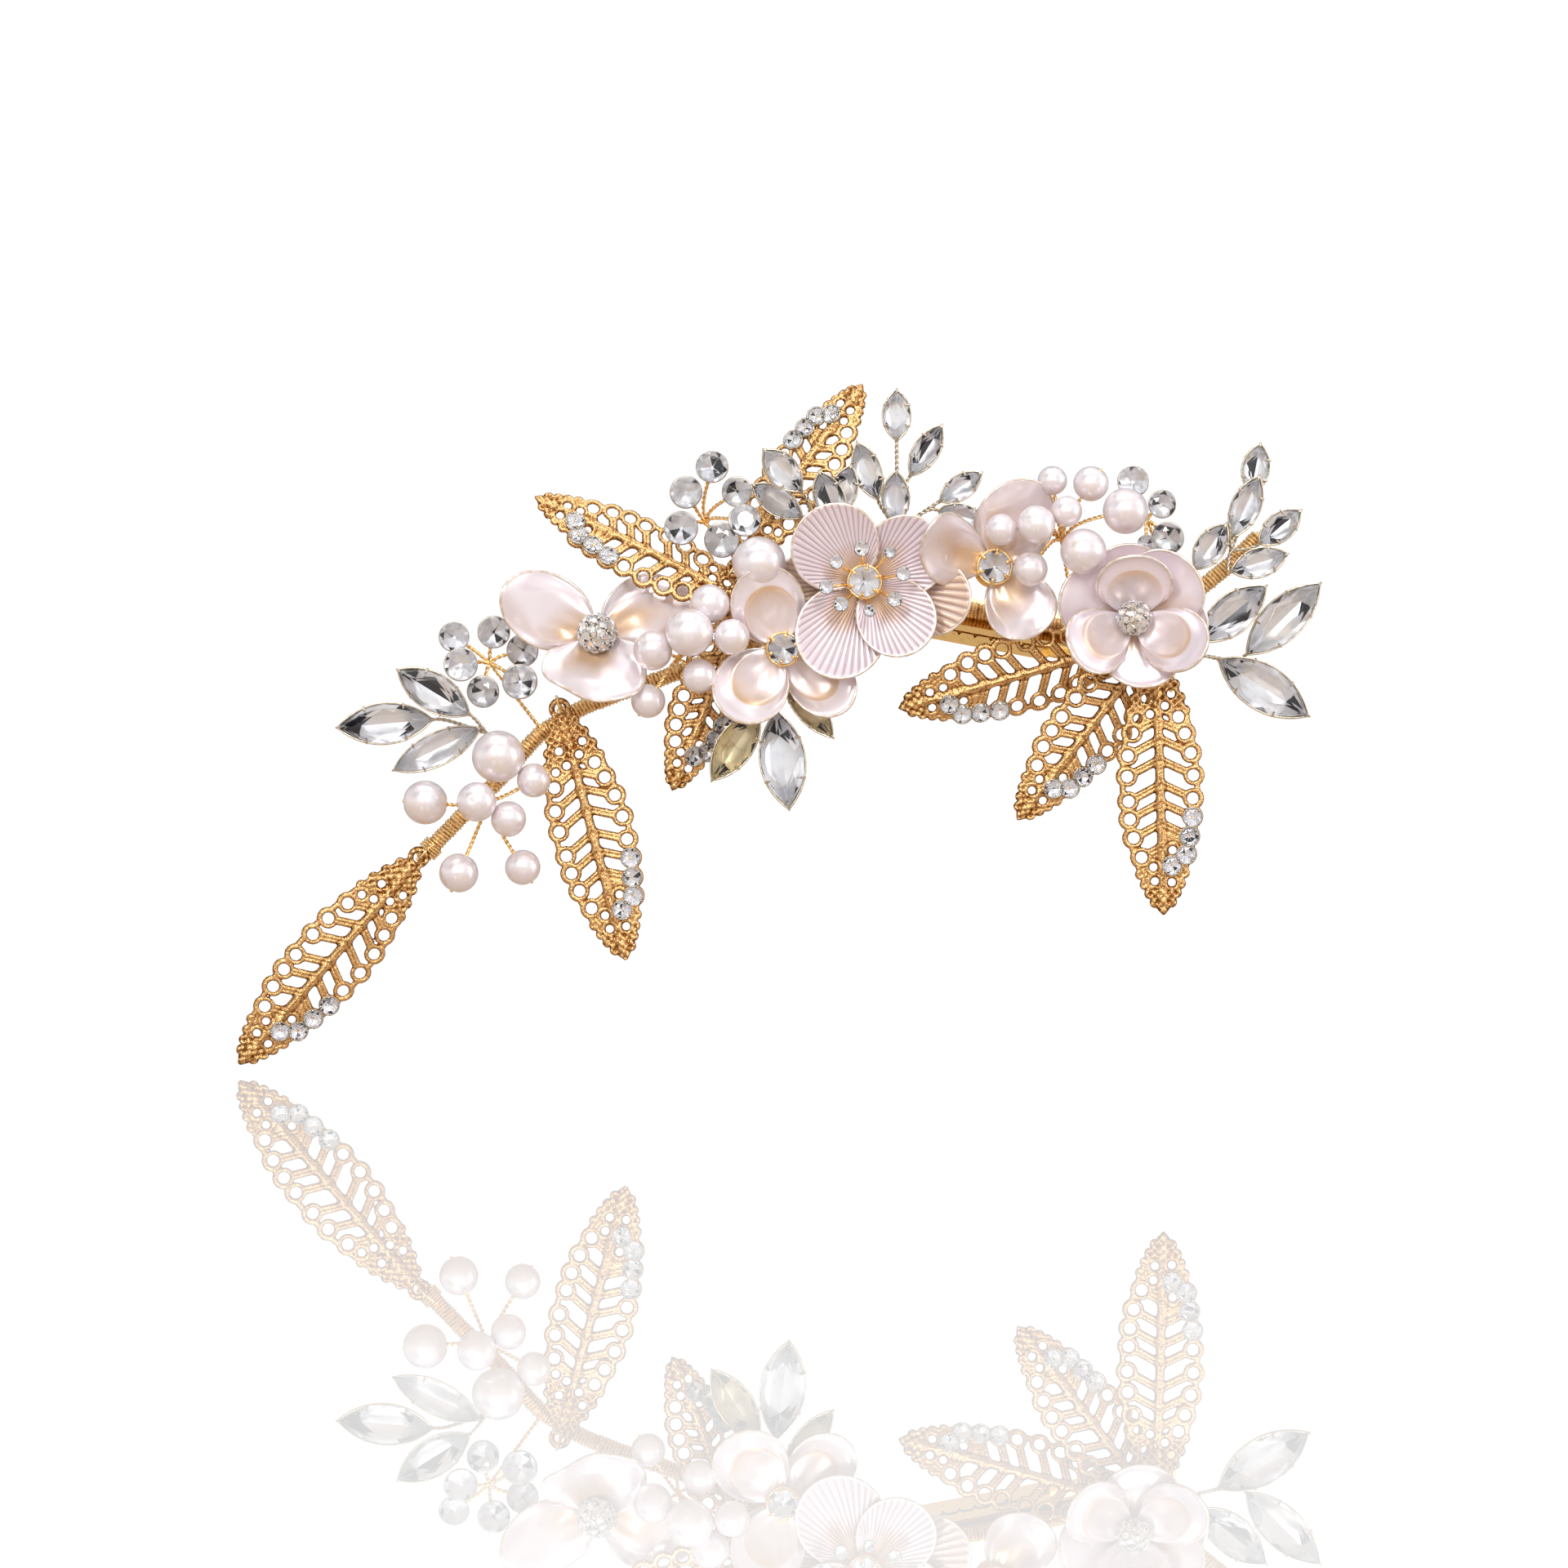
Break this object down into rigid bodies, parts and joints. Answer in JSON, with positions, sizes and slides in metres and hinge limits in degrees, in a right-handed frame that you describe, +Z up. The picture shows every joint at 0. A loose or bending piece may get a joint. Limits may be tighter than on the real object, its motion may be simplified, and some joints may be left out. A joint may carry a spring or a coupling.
{
  "type": "bridal hair spray",
  "caption": "Floral bridal hair piece: filigree leaves, shell-petal flowers, pearls and crystals wired to a wrapped stem on a sprung hair clip.",
  "frame": {"origin": "centre of the hair grip, between the two closed jaws of the clip", "axes": "+X along the spray to the wearer-side with the large right-hand flower, +Z up, -Y out of the decorated face"},
  "size_m": [0.1666, 0.0282, 0.1052],
  "materials": {
    "gold_wire": "polished",
    "gold_thread": "satin",
    "clip_gold": "polished",
    "spring_steel": "satin",
    "leaf_gold": "granulated",
    "setting_gold": "polished",
    "pleated_petal": "pleated, lustrous",
    "rose_petal": "satin",
    "shell_petal": "pearlescent",
    "pearl": "pearlescent",
    "crystal": "cut",
    "pave": "cut"
  },
  "bodies": {
    "hairpiece": {"clip_hinge_pin": "clip_gold", "clip_spring_fixed_half": "spring_steel", "clip_upper_jaw": "clip_gold", "flower_backing_discs": "setting_gold", "leaf_binding_wires": "gold_wire", "leaf_centre_low": "leaf_gold", "leaf_far_left": "leaf_gold", "leaf_left_drop": "leaf_gold", "leaf_rhinestones": "crystal", "leaf_right_inner": "leaf_gold", "leaf_right_middle": "leaf_gold", "leaf_right_outer": "leaf_gold", "leaf_top": "leaf_gold", "leaf_upper_left": "leaf_gold", "left_crystal_wires": "gold_wire", "left_crystals": "crystal", "left_flower_pave_ball": "pave", "left_flower_petals": "shell_petal", "left_marquise_settings": "setting_gold", "left_marquise_stones": "crystal", "left_pearl_wires": "gold_wire", "left_pearls": "pearl", "low_marquise_settings": "setting_gold", "low_marquise_stones": "crystal", "main_flower_back_petals": "pleated_petal", "main_flower_claw_cup": "setting_gold", "main_flower_crystal": "crystal", "main_flower_front_petals": "pleated_petal", "main_flower_stamen_stones": "crystal", "main_flower_stamen_wires": "gold_wire", "mid_left_flower_claw_cup": "setting_gold", "mid_left_flower_crystal": "crystal", "mid_left_flower_petals": "shell_petal", "mid_pearl_wires": "gold_wire", "mid_pearls": "pearl", "mid_right_flower_claw_cup": "setting_gold", "mid_right_flower_crystal": "crystal", "mid_right_flower_petals": "shell_petal", "right_crystal_wires": "gold_wire", "right_crystals": "crystal", "right_marquise_settings": "setting_gold", "right_marquise_stones": "crystal", "right_pearl_wires": "gold_wire", "right_pearls": "pearl", "right_top_marquise_settings": "setting_gold", "right_top_marquise_stones": "crystal", "rose_flower_pave_ball": "pave", "rose_inner_petals": "rose_petal", "rose_outer_petals": "rose_petal", "stem_core_wire": "gold_wire", "stem_thread_wrap": "gold_thread", "top_crystal_wires": "gold_wire", "top_crystals": "crystal", "top_left_marquise_settings": "setting_gold", "top_left_marquise_stones": "crystal", "top_marquise_settings": "setting_gold", "top_marquise_stones": "crystal"},
    "lower_jaw": {"clip_lower_jaw": "clip_gold", "clip_spring_moving_half": "spring_steel"}
  },
  "joints": [
    {"name": "jaw_hinge", "type": "hinge", "parent": "hairpiece", "child": "lower_jaw", "pos_m": [0.01957, 0.00046, -0.00413], "axis": [-0.1435, -0.6428, -0.7525], "range_deg": [0, 24], "stiffness_Nm_per_rad": 0.12, "springref_deg": -28.65}
  ]
}
